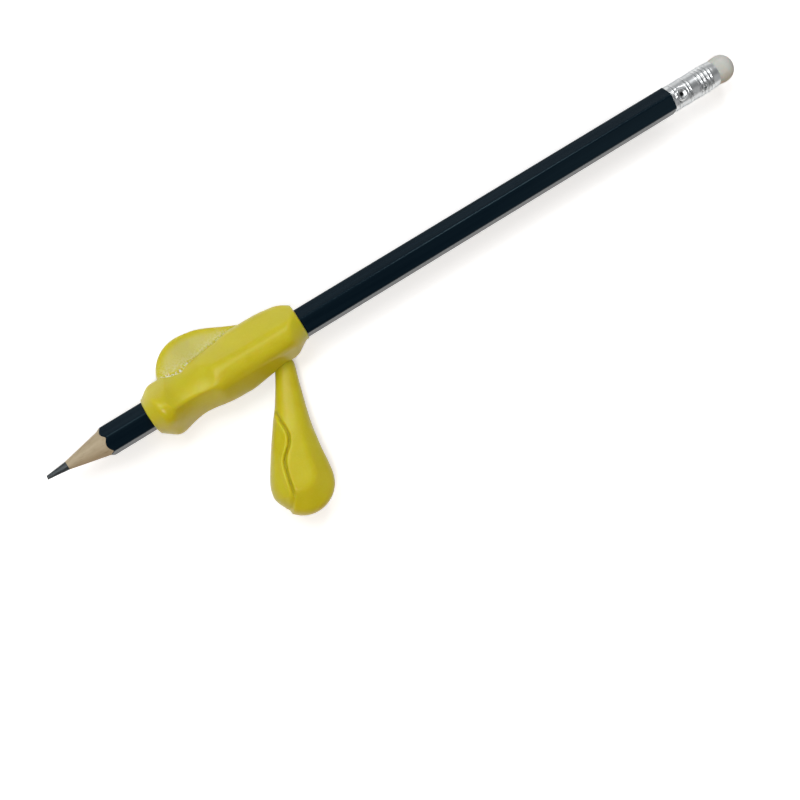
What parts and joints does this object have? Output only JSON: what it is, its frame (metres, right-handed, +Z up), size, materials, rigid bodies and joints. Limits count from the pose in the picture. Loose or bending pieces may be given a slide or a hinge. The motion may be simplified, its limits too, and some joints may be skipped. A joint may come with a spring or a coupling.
{
  "type": "pencil grip on a pencil",
  "caption": "Soft yellow writing grip with finger beds, a thumb-and-finger divider wing and a pear-shaped tail, pushed onto a dark hexagonal pencil with a ferrule and an eraser.",
  "frame": {"origin": "middle of the outline, on the surface that the part lies on", "axes": "+X along the pencil from its point to its eraser, +Y towards the wing and away from the tail, +Z up, towards the side that the picture shows"},
  "size_m": [0.1906, 0.0489, 0.0139],
  "materials": {
    "graphite": "satin",
    "wood": "matte",
    "navy_lacquer": "gloss",
    "ferrule_metal": "bright",
    "eraser_rubber": "matte",
    "grip_rubber": "satin"
  },
  "bodies": {
    "pencil": {"lead": "graphite", "slat_upper": "wood", "slat_lower": "wood", "lacquer": "navy_lacquer", "ferrule": "ferrule_metal", "eraser": "eraser_rubber"},
    "grip": {"grip_body": "grip_rubber"},
    "neck": {"tail_neck": "grip_rubber"},
    "bulb": {"tail_bulb": "grip_rubber"}
  },
  "joints": [
    {"name": "grip_slide", "type": "slide", "parent": "pencil", "child": "grip", "axis": [1, 0, 0], "range_m": [-0.068, 0.104]},
    {"name": "tail_swing", "type": "hinge", "parent": "grip", "child": "neck", "pos_m": [-0.03825, 0.00689, 0.00435], "axis": [0, 0, 1], "range_deg": [-35, 35], "stiffness_Nm_per_rad": 0.006, "deforming": ["tail_neck"]},
    {"name": "tail_fold", "type": "hinge", "parent": "neck", "child": "bulb", "pos_m": [-0.04069, 0.00141, 0.005], "axis": [0.9135, -0.4067, 0], "range_deg": [-40, 40], "stiffness_Nm_per_rad": 0.006, "deforming": ["tail_neck"]}
  ]
}
